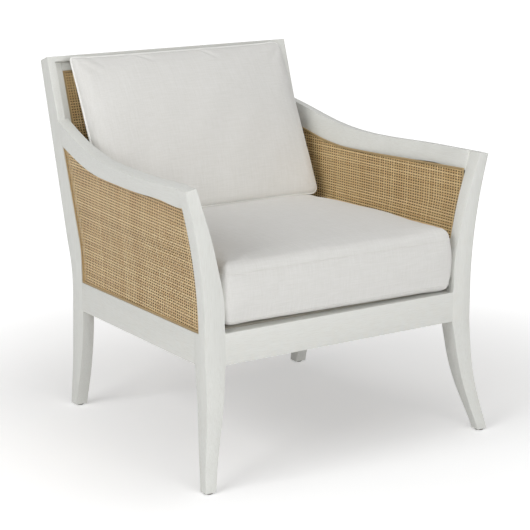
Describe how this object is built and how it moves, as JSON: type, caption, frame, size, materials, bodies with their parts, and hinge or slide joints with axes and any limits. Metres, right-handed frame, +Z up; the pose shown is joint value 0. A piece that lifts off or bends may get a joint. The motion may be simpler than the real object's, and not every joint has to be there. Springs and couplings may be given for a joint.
{
  "type": "lounge chair",
  "caption": "Lounge chair with splayed legs, flared arms, double caned sides and back, and loose box seat and back cushions.",
  "frame": {"origin": "on the floor under the middle of the chair's outline, level with the glides' faces", "axes": "+X to the right as seen from in front of the chair, +Y from the front to the back, +Z up"},
  "size_m": [0.762, 0.7758, 0.7972],
  "materials": {
    "limed_wood": "matte",
    "raw_wood": "matte",
    "cane": "satin",
    "reed_spline": "satin",
    "linen_cover": "matte",
    "foam": "matte",
    "deck_cloth": "matte",
    "webbing": "matte",
    "zinc_steel": "satin",
    "glide_plastic": "matte"
  },
  "bodies": {
    "frame": {"arm_dowels": "raw_wood", "arm_left": "limed_wood", "arm_right": "limed_wood", "back_cane_front": "cane", "back_cane_rear": "cane", "back_panel_bottom": "limed_wood", "back_panel_stile_left": "limed_wood", "back_panel_stile_right": "limed_wood", "back_panel_top": "limed_wood", "back_rail": "limed_wood", "back_spline_front": "reed_spline", "back_spline_rear": "reed_spline", "corner_bolts": "zinc_steel", "crest_dowels": "raw_wood", "crest_rail": "limed_wood", "deck_cleat_front": "raw_wood", "deck_cleat_left": "raw_wood", "deck_cleat_rear": "raw_wood", "deck_cleat_right": "raw_wood", "deck_cloth": "deck_cloth", "deck_pad": "foam", "deck_slat_front": "raw_wood", "deck_slat_left": "raw_wood", "deck_slat_rear": "raw_wood", "deck_slat_right": "raw_wood", "dust_cover": "deck_cloth", "floor_glides": "glide_plastic", "frame_dowels": "raw_wood", "front_corner_block_left": "raw_wood", "front_corner_block_right": "raw_wood", "front_leg_left": "limed_wood", "front_leg_right": "limed_wood", "front_rail": "limed_wood", "lower_back_rail": "limed_wood", "rear_corner_block_left": "raw_wood", "rear_corner_block_right": "raw_wood", "rear_leg_left": "limed_wood", "rear_leg_right": "limed_wood", "side_cane_inner_left": "cane", "side_cane_inner_right": "cane", "side_cane_outer_left": "cane", "side_cane_outer_right": "cane", "side_rail_left": "limed_wood", "side_rail_right": "limed_wood", "side_spline_inner_left": "reed_spline", "side_spline_inner_right": "reed_spline", "side_spline_outer_left": "reed_spline", "side_spline_outer_right": "reed_spline", "webbing_straps": "webbing"},
    "seat_cushion": {"seat_cushion_cover": "linen_cover", "seat_cushion_core": "foam"},
    "back_cushion": {"back_cushion_cover": "linen_cover", "back_cushion_core": "foam"}
  },
  "joints": [
    {"name": "seat_cushion_lift", "type": "slide", "parent": "frame", "child": "seat_cushion", "axis": [0, 0, 1], "range_m": [0, 0.45]},
    {"name": "back_cushion_lift", "type": "slide", "parent": "seat_cushion", "child": "back_cushion", "axis": [0, 0, 1], "range_m": [0, 0.45]}
  ]
}
